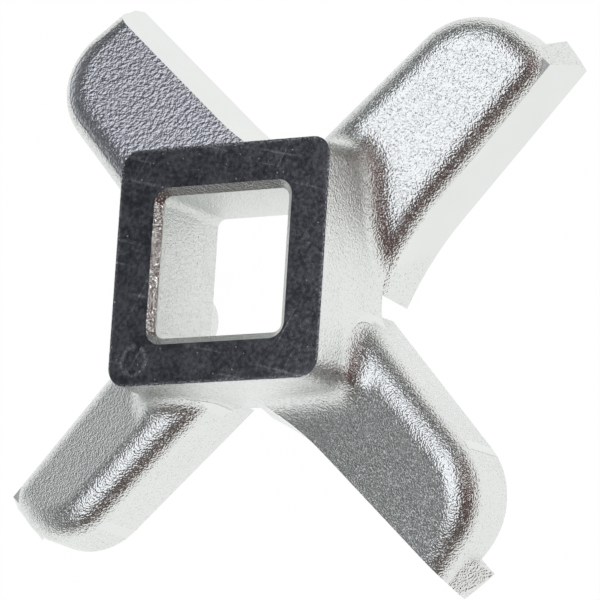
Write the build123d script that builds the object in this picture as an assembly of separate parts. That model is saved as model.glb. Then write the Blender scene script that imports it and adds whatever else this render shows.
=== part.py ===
"""Four-armed knife for a kitchen meat grinder, one steel casting.

The knife lies as it would on a bench: its cutting lands on z = 0 and the ground face of its square
hub uppermost. The origin is on the bore's axis, in the cutting plane. An arm is modelled along +X
with its leading side at -Y, and is then turned to its four places.
"""

import os
from math import cos, radians, sin, tan

from build123d import *

# Driving dimensions, in millimetres and degrees.
SWEEP_RADIUS = 24.0
ARM_SKEW = 2.5  # each arm is turned this far past the diagonal of the hub

HUB_ACROSS = 15.3
HUB_CORNER_RADIUS = 1.3
HUB_TOP = 10.0
HUB_UNDERSIDE = 3.0
HUB_DRAFT = 2.0

BORE_ACROSS = 9.2
BORE_CORNER_RADIUS = 0.6
BORE_CHAMFER = 0.45

EDGE_OFFSET = 5.75  # the cutting edge runs this far from the arm's centre line
FACE_LEAN = 10.5  # of the ground leading face, back from the vertical
FACE_HEIGHT = 3.8
FLARE_START = 11.0  # inside this station the leading face curves out towards the next arm
FLARE_RADIUS = 21.0
FLARE_ANGLE = 20.0

BACK_SLOPE = 20.0  # of the cast back, rising from the leading face to the ridge
RIDGE_RADIUS = 1.8
BROW_RADII = (2.0, 0.0, 2.0, 0.0)  # the ground leading faces have cut two brows back to a crisp edge
TRAIL_OFFSET = 2.8  # of the trailing wall, at TRAIL_STATION along the arm
TRAIL_STATION = 13.95
TRAIL_TAPER = 5.6
TRAIL_DRAFT = 2.0
ARM_LENGTH = 22.9
ARM_END_RADIUS = 5.0

TAB_WIDTH = 2.5  # the cutting land runs on past the arm's end in a tab this wide
TAB_RAMP = 65.0  # the tab's top falls outwards this steeply
TAB_CREST = (22.4, 3.0)  # station and height from which it falls, inside the arm's rounded end
LAND_HEIGHT = 0.9  # the rest of the underside is relieved by this much
LAND_WIDTH_AT_ROOT = 3.0
FOOT_START = 4.45  # the inner end of the land, under the hub
FOOT_CORNER_RADIUS = 2.2
RECESS_RADIUS = 7.9  # of the hollow between the feet, under the hub

ROOT_FILLET = 2.0
FAR = 40.0  # well outside the knife


def leading_block():
    """Everything behind the leaning leading face, with its flare at the root of the arm."""
    centre_y = -EDGE_OFFSET - FLARE_RADIUS
    turn = radians(FLARE_ANGLE)
    start = (FLARE_START, -EDGE_OFFSET)
    middle = (FLARE_START - FLARE_RADIUS * sin(turn / 2), centre_y + FLARE_RADIUS * cos(turn / 2))
    end = (FLARE_START - FLARE_RADIUS * sin(turn), centre_y + FLARE_RADIUS * cos(turn))
    root = (-FAR, end[1] - (end[0] + FAR) * tan(turn))
    outline = [
        ThreePointArc(end, middle, start),
        Polyline(start, (FAR, -EDGE_OFFSET), (FAR, FAR), (-FAR, FAR), root, end),
    ]
    return extrude(make_face(outline), amount=HUB_TOP, taper=FACE_LEAN)


def trail_y(x):
    """Distance of the trailing wall from the arm's centre line, at its foot."""
    return TRAIL_OFFSET - (x - TRAIL_STATION) * tan(radians(TRAIL_TAPER))


def plan_block():
    """Prism of the arm's trailing wall and its rounded outer end."""
    corner = (ARM_LENGTH, trail_y(ARM_LENGTH))
    outline = make_face(Polyline((0, -FAR), (ARM_LENGTH, -FAR), corner, (0, trail_y(0)), (0, -FAR)))
    outer = outline.vertices().sort_by_distance(Vector(*corner))[0]
    return extrude(fillet(outer, ARM_END_RADIUS), amount=HUB_TOP, taper=TRAIL_DRAFT)


def back_block():
    """Everything under the sloping back."""
    brow_y = -EDGE_OFFSET + FACE_HEIGHT * tan(radians(FACE_LEAN))
    rise = tan(radians(BACK_SLOPE))
    high = FACE_HEIGHT + (FAR - brow_y) * rise
    low = FACE_HEIGHT + (-FAR - brow_y) * rise
    section = make_face(Polyline((-FAR, -FAR), (FAR, -FAR), (FAR, high), (-FAR, low), (-FAR, -FAR)))
    return extrude(Plane.YZ * section, amount=FAR)


def back_face(solid):
    flat = solid.faces().filter_by(GeomType.PLANE)
    return flat.filter_by(lambda face: face.normal_at().Z > 0.5).sort_by(SortBy.AREA)[-1]


def rounded_body(brow_radius):
    """The cast body of an arm, with its ridge, outer end and brow rounded over."""
    body = plan_block() & leading_block() & back_block()
    rim = back_face(body).edges().filter_by(lambda edge: edge.center().X > 1)
    ridge = rim.filter_by(lambda edge: edge.center().Y > -4 or edge.center().X > ARM_LENGTH - 1)
    body = fillet(ridge, RIDGE_RADIUS)
    if not brow_radius:
        return body
    rim = back_face(body).edges().filter_by(lambda edge: edge.center().X > 1)
    brow = rim.filter_by(lambda edge: edge.center().Y < -4)
    return fillet(brow, brow_radius)


def tab():
    """The end of the cutting land, standing proud of the arm's end, out to the sweep circle."""
    station, height = TAB_CREST
    toe = (station + height / tan(radians(TAB_RAMP)), 0)
    heel = (station - 2, 0)
    section = make_face(Polyline(heel, toe, TAB_CREST, (station - 2, height), heel))
    strip = Pos(0, TAB_WIDTH - EDGE_OFFSET) * extrude(Plane.XZ * section, amount=EDGE_OFFSET)
    return strip & Cylinder(SWEEP_RADIUS, FAR) & leading_block()


def land_outline():
    """Plan of the ground land: a strip behind the cutting edge, widest under the hub."""
    heel = (FOOT_START, -EDGE_OFFSET + LAND_WIDTH_AT_ROOT)
    tip = (SWEEP_RADIUS, -EDGE_OFFSET + TAB_WIDTH)
    outline = make_face(
        Polyline((FOOT_START, -FAR), (FAR, -FAR), (FAR, tip[1]), tip, heel, (FOOT_START, -FAR))
    )
    corner = outline.vertices().sort_by_distance(Vector(*heel))[0]
    return fillet(corner, FOOT_CORNER_RADIUS)


def arm(brow_radius):
    """One whole arm, relieved underneath except for its land."""
    land = land_outline()
    relief = Rectangle(2 * FAR, 2 * FAR) - land
    inner = Pos(FOOT_START, 0) * Rectangle(FAR, 2 * FAR, align=(Align.MAX, Align.CENTER))
    hollow = Circle(RECESS_RADIUS) + inner - land
    solid = rounded_body(brow_radius) + tab()
    solid -= extrude(relief, amount=LAND_HEIGHT)
    solid -= extrude(hollow, amount=HUB_UNDERSIDE)
    return solid


def hub():
    """Square boss, widest where it meets the arms."""
    face = Pos(0, 0, HUB_TOP) * RectangleRounded(HUB_ACROSS, HUB_ACROSS, HUB_CORNER_RADIUS)
    return extrude(face, amount=HUB_TOP - HUB_UNDERSIDE, dir=(0, 0, -1), taper=-HUB_DRAFT)


def bore():
    """Square hole for the drive, chamfered at the ground face."""
    hole = extrude(RectangleRounded(BORE_ACROSS, BORE_ACROSS, BORE_CORNER_RADIUS), amount=HUB_TOP)
    mouth_across = BORE_ACROSS + 2 * BORE_CHAMFER
    mouth = RectangleRounded(mouth_across, mouth_across, BORE_CORNER_RADIUS + BORE_CHAMFER)
    mouth = Pos(0, 0, HUB_TOP) * mouth
    return hole + extrude(mouth, amount=BORE_CHAMFER, dir=(0, 0, -1), taper=45)


def knife():
    boss = hub()
    arms = []
    for number, brow_radius in enumerate(BROW_RADII):
        arms.append(Rot(0, 0, 45 + ARM_SKEW + 90 * number) * arm(brow_radius))
    body = boss + arms
    joins = new_edges(boss, *arms, combined=body)
    roots = joins.filter_by(lambda edge: edge.center().Z > HUB_UNDERSIDE + 0.05)
    return fillet(roots, ROOT_FILLET) - bore()


os.makedirs("parts", exist_ok=True)
solid = knife().solid()
solid.label = "knife"
export_step(solid, "parts/knife.step")
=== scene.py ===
"""Studio scene of a cast meat grinder knife: its steel, the light round it and the camera.

The knife lies with its cutting lands at z = 0, just over the floor, and its bore is on the z axis.
Lengths are in metres.
"""

from math import radians
from types import SimpleNamespace

import bmesh
import bpy
from mathutils import Euler, Matrix, Vector

# Where one finish of the knife gives way to the next. Of each pair, the change starts at the first
# number and is complete at the second.
HUB_TOP = 0.010
HUB_FACE_ABOVE = (HUB_TOP - 0.0004, HUB_TOP - 0.0002)
MOUTH_ABOVE = (HUB_TOP - 0.0006, HUB_TOP - 0.0004)
BORE_WITHIN = (0.0050, 0.0053)  # from the axis, measured square to the hub's sides
RIM_BEYOND = (0.00735, 0.00765)
LEADING_BEYOND = (0.0042, 0.0046)  # from the axis, measured along the face's own normal
LEADING_WITHIN = (0.0066, 0.0070)
TIPS_BEYOND = (0.0205, 0.0210)
LEVEL = (0.97, 0.995)  # height of the normal of a face that lies level
NEARLY_LEVEL = (0.95, 0.98)
SLOPING = (0.85, 0.90)
STEEP = (0.28, 0.32)

# The skin of the casting, and the lines that grinding leaves.
SKIN_DEPTH = 0.000075
PEEL_SIZE = 0.00023
GRIT_SIZE = 0.00011
PITS_PER_METRE = 3600.0
CLOUD_SIZE = 0.004
SCRATCH_SETS = (  # of each, the width of a line, its stretch and its turn about z
    (0.0004, (1.0, 0.06, 1.0), 0.5),
    (0.0003, (0.07, 1.0, 1.0), 0.25),
)
GROUND_ROUGHNESS = 0.16

# The mottled face of the hub, with a round mark rubbed into it.
MOTTLE_SIZE = 0.00028
PATCH_SIZE = 0.0016
SPECK_SIZE = 0.00020
RUB_CENTRE = (-0.0058, -0.0060)
RUB_RADIUS = 0.0009
RUB_WIDTH = (0.00005, 0.00022)

STEEL = ((0.76, 0.78, 0.76), (0.82, 0.84, 0.82))
# Painted shade: the darker steel of one arm's back.
SHADED_BACK_STEEL = (0.64, 0.65, 0.69)
# Painted shade: the hub's face is painted darker than the steel, with random mottle between these two
# colours.
HUB_FACE_MOTTLE_AND_SHADE = ((0.165, 0.17, 0.195), (0.53, 0.54, 0.565))
BRIGHT_MARK = (0.95, 0.95, 0.95)
WHITE = (1.0, 1.0, 1.0)

# The floor. The steel sees it end in the dark at the front right.
FLOOR_RADIUS = 1.5
FLOOR_DROP = 0.00002
FLOOR_GLOW = 1.015
FLOOR_GLOW_SHARE = 0.97
FLOOR_MATT = (0.9, 0.9, 0.9)
FLOOR_END = (0.13, 0.075, 0.07)
FLOOR_END_BEYOND = (0.02, 0.13)

# The cards that light the knife: a large softbox over it, and a small bright card to its right.
SOFTBOX_HEIGHT = 0.6
SOFTBOX_OUTLINE = ((-0.285, 0.17), (-0.30, -0.52), (0.27, -0.52), (0.26, 0.85), (0.115, 0.92), (-0.225, 0.25))
SOFTBOX_COLOUR = (0.94, 0.95, 1.0)
SOFTBOX_STRENGTH = 1.32
SIDE_CARD_AIM = Vector((0.0, 0.0, 0.004))
SIDE_CARD_DIRECTION = Vector((0.84, 0.21, 0.51))
SIDE_CARD_DISTANCE = 0.6
SIDE_CARD_SIZE = 0.12
SIDE_CARD_STRENGTH = 3.0

# What stands round the knife, by the height of the direction: 0 is the horizon, 1 straight up.
LEFT_WALL = (
    (0.0, WHITE),
    (0.10, (0.72, 0.74, 0.76)),
    (0.20, (0.42, 0.435, 0.455)),
    (0.36, (0.305, 0.315, 0.325)),
    (0.52, (0.165, 0.156, 0.148)),
    (0.76, (0.075, 0.08, 0.088)),
    (1.0, (0.07, 0.07, 0.08)),
)
RIGHT_WALL = (
    (0.0, (0.13, 0.075, 0.07)),
    (0.14, (0.10, 0.042, 0.038)),
    (0.50, (0.08, 0.030, 0.028)),
    (1.0, (0.08, 0.07, 0.07)),
)
BACK_WALL = (
    (0.0, (0.75, 0.76, 0.75)),
    (0.08, (0.42, 0.43, 0.42)),
    (0.24, (0.10, 0.102, 0.098)),
    (0.60, (0.065, 0.066, 0.066)),
    (1.0, (0.07, 0.07, 0.08)),
)
FRONT_WALL = (0.085, 0.078, 0.066)
FRONT_WALL_SHARE = 0.65

# Where each wall gives way to the next, by how far the direction leans that way.
DARK_SIDE = (0.91, -0.41)  # the dark wall stands at the right, a little to the front
RIGHT_BEYOND = (-0.2, 0.4)
BACK_BEYOND = (0.45, 0.85)
FRONT_BEYOND = (0.35, 0.80)

# The camera: its turns are in degrees about x, y and z, and its focal length is in pixels.
CAMERA_PLACE = (0.15702, -0.06417, 0.25900)
CAMERA_TURNS = (13.811, 30.3132, 4.0036)
CAMERA_FOCAL = 4827.4
CAMERA_SHIFT = (-0.01550, 0.02128)
PICTURE_SIDE = 600
SENSOR = 36.0


class Socket:
    """A value in a tree of nodes, which takes part in Python sums and products."""

    def __init__(self, tree, link):
        self.tree = tree
        self.link = link

    def _math(self, operation, *values):
        return self.tree.add("ShaderNodeMath", {"operation": operation}, dict(enumerate(values)))

    def __add__(self, other):
        return self._math("ADD", self, other)

    __radd__ = __add__

    def __sub__(self, other):
        return self._math("SUBTRACT", self, other)

    def __rsub__(self, other):
        return self._math("SUBTRACT", other, self)

    def __mul__(self, other):
        return self._math("MULTIPLY", self, other)

    __rmul__ = __mul__

    def __pow__(self, other):
        return self._math("POWER", self, other)

    def abs(self):
        return self._math("ABSOLUTE", self)

    def most(self, other):
        return self._math("MAXIMUM", self, other)

    def least(self, other):
        return self._math("MINIMUM", self, other)

    def clip(self):
        """Held between 0 and 1."""
        return self.least(1.0).most(0.0)

    def step(self, low, high):
        """0 below low, 1 above high, and smooth between them."""
        settings = {"interpolation_type": "SMOOTHSTEP"}
        values = {"Value": self, "From Min": low, "From Max": high}
        return self.tree.add("ShaderNodeMapRange", settings, values)


class Tree:
    """Makes the nodes of one material or of the world."""

    def __init__(self, owner):
        owner.use_nodes = True
        self.nodes = owner.node_tree.nodes
        self.links = owner.node_tree.links
        self.nodes.clear()

    def add(self, kind, settings=None, values=None, output=0):
        """A node with these settings and these values or links, of which one output is given back."""
        node = self.nodes.new(kind)
        for name, value in (settings or {}).items():
            if name == "ramp":
                self._ramp(node.color_ramp, value)
            else:
                setattr(node, name, value)
        for name, value in (values or {}).items():
            self._put(node.inputs[name], value)
        return Socket(self, node.outputs[output]) if node.outputs else None

    def _ramp(self, ramp, stops):
        while len(ramp.elements) > 1:
            ramp.elements.remove(ramp.elements[-1])
        for number, (place, colour) in enumerate(stops):
            element = ramp.elements[0] if number == 0 else ramp.elements.new(place)
            element.position = place
            element.color = (*colour, 1.0)

    def _put(self, socket, value):
        if isinstance(value, Socket):
            self.links.new(value.link, socket)
        elif socket.type == "RGBA":
            socket.default_value = (*value, 1.0)
        else:
            socket.default_value = value

    def parts(self, vector):
        """The x, y and z of a vector, as three values."""
        first = self.add("ShaderNodeSeparateXYZ", {}, {"Vector": vector})
        return [Socket(self, output) for output in first.link.node.outputs]

    def mix(self, share, first, second):
        """Colour that goes from first to second as share goes from 0 to 1."""
        values = {0: share, 6: first, 7: second}
        return self.add("ShaderNodeMix", {"data_type": "RGBA"}, values, output=2)

    def mix_shaders(self, share, first, second):
        """Shader that goes from first to second as share goes from 0 to 1."""
        return self.add("ShaderNodeMixShader", {}, {0: share, 1: first, 2: second})

    def surface(self, shader):
        """The material's output."""
        self.add("ShaderNodeOutputMaterial", {}, {"Surface": shader})


def new_material(name):
    """A material and its empty tree."""
    material = bpy.data.materials.new(name)
    return material, Tree(material)


def grain(tree, place, size, detail, stretch=(1.0, 1.0, 1.0), turn=0.0):
    """Noise from 0 to 1 with grains of about this size, turned about z and then stretched."""
    turned = tree.add("ShaderNodeMapping", {}, {"Vector": place, "Rotation": (0.0, 0.0, turn)})
    scaled = tree.add("ShaderNodeMapping", {}, {"Vector": turned, "Scale": stretch})
    values = {"Vector": scaled, "Scale": 1.0 / size, "Detail": detail, "Roughness": 0.55}
    return tree.add("ShaderNodeTexNoise", {}, values)


def distance(x, y, centre=(0.0, 0.0)):
    """Distance of a place from an upright axis."""
    across = x - centre[0]
    along = y - centre[1]
    return (across * across + along * along) ** 0.5


def finishes(tree, place):
    """Where each finish of the knife is, as shares from 0 to 1."""
    x, y, z = tree.parts(place)
    nx, ny, nz = tree.parts(tree.add("ShaderNodeTexCoord", output="Normal"))
    across = x.abs().most(y.abs())
    # A face's distance out tells a leading face from a trailing wall, apart from two narrow strips of
    # each trailing wall: one by the hub, and one where it turns round the arm's end.
    out = x * nx + y * ny

    hub_face = nz.step(*LEVEL) * z.step(*HUB_FACE_ABOVE)
    lands = (nz * -1).step(*LEVEL)
    leading = out.step(*LEADING_BEYOND) * (1 - out.step(*LEADING_WITHIN)) * (1 - nz.step(*STEEP))
    bore = (1 - across.step(*BORE_WITHIN)) * (1 - hub_face) * (1 - lands)
    ground = hub_face.most(leading).most(lands).most(bore)
    return SimpleNamespace(
        hub_face=hub_face,
        rim=across.step(*RIM_BEYOND),
        rub=1 - (distance(x, y, RUB_CENTRE) - RUB_RADIUS).abs().step(*RUB_WIDTH),
        bore=bore,
        mouth=bore * z.step(*MOUTH_ABOVE),
        ground=ground,
        cast=1 - ground,
        # The back of the arm that points to -x and +y is the roughest, and its steel is painted darker there
        # as painted shade.
        rough_and_shaded_back=(1 - x.step(-0.001, 0.0)) * y.step(0.001, 0.002) * nz.step(*SLOPING),
        tips=distance(x, y).step(*TIPS_BEYOND) * nz.step(*NEARLY_LEVEL),
    )


def grinding_scratches(tree, place):
    """Two crossing sets of fine lines, left by the grinding wheel."""
    noises = [grain(tree, place, size, 2.0, stretch, turn) for size, stretch, turn in SCRATCH_SETS]
    first, second = (noise.step(0.62, 0.72) for noise in noises)
    return first * 0.5 + second * 0.5


def skin_bump(tree, place, finish, grit, scratches):
    """Wormy peel with finer grit on the casting, deepest in the bore, with pits on the roughest back.

    Where the steel is ground, the skin is all but gone and scratches take its place.
    """
    skin = grain(tree, place, PEEL_SIZE, 2.0) * 0.5 + grit * 0.5
    pits = tree.add("ShaderNodeTexVoronoi", {"feature": "F1"}, {"Vector": place, "Scale": PITS_PER_METRE})
    pitted = finish.rough_and_shaded_back * finish.cast
    depth = finish.cast - pitted * 0.5 + finish.bore * 1.6 - finish.mouth * 0.9 + 0.05
    height = skin * depth - pits * pitted * 0.36 + scratches * finish.ground * 0.03
    return tree.add("ShaderNodeBump", {}, {"Strength": 1.0, "Distance": SKIN_DEPTH, "Height": height})


def cast_and_ground_steel():
    """Bright cast steel, ground smooth on its lands and leading faces, with painted shade darkening the hub's
    face and the back of one arm.
    """
    material, tree = new_material("cast_and_ground_steel")
    place = tree.add("ShaderNodeTexCoord", output="Object")
    finish = finishes(tree, place)
    grit = grain(tree, place, GRIT_SIZE, 0.0)
    scratches = grinding_scratches(tree, place)

    # The hub's face is mottled, with bright specks, a worn rim and one round rub mark. Its dark base colour
    # is painted shade, a dark reflection painted into the ground steel.
    mottle = grain(tree, place, MOTTLE_SIZE, 3.0) * 0.65 + grain(tree, place, PATCH_SIZE, 3.0) * 0.35
    specks = grain(tree, place, SPECK_SIZE, 0.0).step(0.78, 0.86)
    rub = finish.rub * mottle.step(0.3, 0.6)
    rim = finish.rim * grit.step(0.4, 0.6)
    marks = (specks * 0.6 + scratches * 0.2 + rub * 0.3 + rim * 0.6).clip()
    hub_face = tree.mix(marks, tree.mix(mottle.step(0.32, 0.68), *HUB_FACE_MOTTLE_AND_SHADE), BRIGHT_MARK)

    steel = tree.mix(grain(tree, place, CLOUD_SIZE, 3.0), *STEEL)
    # Painted shade: the back of the arm that points to -x and +y gets darker steel.
    steel = tree.mix(finish.rough_and_shaded_back, steel, SHADED_BACK_STEEL)
    roughness = (
        GROUND_ROUGHNESS
        + finish.cast * 0.11
        + finish.bore * 0.20
        - finish.mouth * 0.16
        + scratches * 0.08
        + marks * finish.hub_face * 0.2
        + finish.tips * 0.5
    )
    values = {
        "Base Color": tree.mix(finish.hub_face, steel, hub_face),
        "Metallic": 1.0,
        "Roughness": roughness,
        "Normal": skin_bump(tree, place, finish, grit, scratches),
    }
    tree.surface(tree.add("ShaderNodeBsdfPrincipled", {}, values))
    return material


def studio_piece(name, shape, material):
    """Object made of a finished bmesh, in the studio round the knife."""
    mesh = bpy.data.meshes.new(name)
    shape.to_mesh(mesh)
    shape.free()
    mesh.materials.append(material)
    piece = bpy.data.objects.new(name, mesh)
    bpy.context.scene.collection.objects.link(piece)
    return piece


def card(name, shape, colour, strength):
    """A flat shape that glows, and that the camera sees through."""
    material, tree = new_material(name)
    camera_ray = tree.add("ShaderNodeLightPath", output="Is Camera Ray")
    glow = tree.add("ShaderNodeEmission", {}, {"Color": colour, "Strength": strength})
    clear = tree.add("ShaderNodeBsdfTransparent")
    tree.surface(tree.mix_shaders(camera_ray, glow, clear))
    piece = studio_piece(name, shape, material)


def softbox():
    shape = bmesh.new()
    shape.faces.new([shape.verts.new((x, y, SOFTBOX_HEIGHT)) for x, y in SOFTBOX_OUTLINE])
    card("softbox", shape, SOFTBOX_COLOUR, SOFTBOX_STRENGTH)


def side_light():
    """The small card, square on to the knife, which lights the left side of the bore's mouth."""
    place = SIDE_CARD_AIM + SIDE_CARD_DIRECTION.normalized() * SIDE_CARD_DISTANCE
    turn = SIDE_CARD_DIRECTION.to_track_quat("Z", "Y")
    held = Matrix.LocRotScale(place, turn, None)
    shape = bmesh.new()
    bmesh.ops.create_grid(shape, x_segments=1, y_segments=1, size=SIDE_CARD_SIZE / 2, matrix=held)
    card("side_light", shape, WHITE, SIDE_CARD_STRENGTH)


def towards_dark(x, y):
    """How far a place or a direction lies towards the dark wall."""
    return x * DARK_SIDE[0] + y * DARK_SIDE[1]


def floor():
    """White floor. Its matt share keeps the knife's shadow, and from below it is clear."""
    material, tree = new_material("floor_white")
    x, y, _ = tree.parts(tree.add("ShaderNodeTexCoord", output="Object"))
    camera_ray = tree.add("ShaderNodeLightPath", output="Is Camera Ray")
    glossy_ray = tree.add("ShaderNodeLightPath", output="Is Glossy Ray")
    below = tree.add("ShaderNodeNewGeometry", output="Backfacing")
    colour = tree.mix(glossy_ray * towards_dark(x, y).step(*FLOOR_END_BEYOND), WHITE, FLOOR_END)
    matt = tree.add("ShaderNodeBsdfDiffuse", {}, {"Color": FLOOR_MATT})
    glow = tree.add("ShaderNodeEmission", {}, {"Color": colour, "Strength": FLOOR_GLOW})
    clear = tree.add("ShaderNodeBsdfTransparent")
    above = tree.mix_shaders(camera_ray.most(glossy_ray) * FLOOR_GLOW_SHARE, matt, glow)
    tree.surface(tree.mix_shaders(below, above, clear))

    shape = bmesh.new()
    dropped = Matrix.Translation((0.0, 0.0, -FLOOR_DROP))
    bmesh.ops.create_circle(shape, cap_ends=True, segments=96, radius=FLOOR_RADIUS, matrix=dropped)
    piece = studio_piece("floor", shape, material)


def walls():
    """The studio's walls, as the steel sees them. The camera sees only white."""
    world = bpy.data.worlds.new("studio")
    bpy.context.scene.world = world
    tree = Tree(world)
    x, y, z = tree.parts(tree.add("ShaderNodeTexCoord", output="Generated"))
    left = tree.add("ShaderNodeValToRGB", {"ramp": LEFT_WALL}, {"Fac": z})
    right = tree.add("ShaderNodeValToRGB", {"ramp": RIGHT_WALL}, {"Fac": z})
    back = tree.add("ShaderNodeValToRGB", {"ramp": BACK_WALL}, {"Fac": z})
    room = tree.mix(towards_dark(x, y).step(*RIGHT_BEYOND), left, right)
    room = tree.mix(y.step(*BACK_BEYOND), room, back)
    room = tree.mix((y * -1).step(*FRONT_BEYOND) * FRONT_WALL_SHARE, room, FRONT_WALL)
    camera_ray = tree.add("ShaderNodeLightPath", output="Is Camera Ray")
    background = tree.add("ShaderNodeBackground", {}, {"Color": tree.mix(camera_ray, room, WHITE)})
    tree.add("ShaderNodeOutputWorld", {}, {"Surface": background})


def camera():
    lens = bpy.data.cameras.new("camera")
    lens.sensor_width = SENSOR
    lens.lens = CAMERA_FOCAL / PICTURE_SIDE * SENSOR
    lens.shift_x, lens.shift_y = CAMERA_SHIFT
    lens.clip_start = 0.01
    lens.clip_end = 10
    piece = bpy.data.objects.new("camera", lens)
    turn = Euler([radians(angle) for angle in CAMERA_TURNS])
    bpy.context.scene.collection.objects.link(piece)
    piece.matrix_world = Matrix.LocRotScale(Vector(CAMERA_PLACE), turn, None)
    bpy.context.scene.camera = piece


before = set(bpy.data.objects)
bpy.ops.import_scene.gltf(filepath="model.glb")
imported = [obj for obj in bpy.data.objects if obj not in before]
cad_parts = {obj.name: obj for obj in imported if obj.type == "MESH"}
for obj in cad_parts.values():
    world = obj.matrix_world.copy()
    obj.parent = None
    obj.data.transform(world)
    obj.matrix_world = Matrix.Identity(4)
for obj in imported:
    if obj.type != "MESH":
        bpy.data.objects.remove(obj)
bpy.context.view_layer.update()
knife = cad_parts["knife"]
knife.data.materials[0] = cast_and_ground_steel()
floor()
walls()
softbox()
side_light()
camera()
bpy.context.scene.view_settings.view_transform = "Standard"
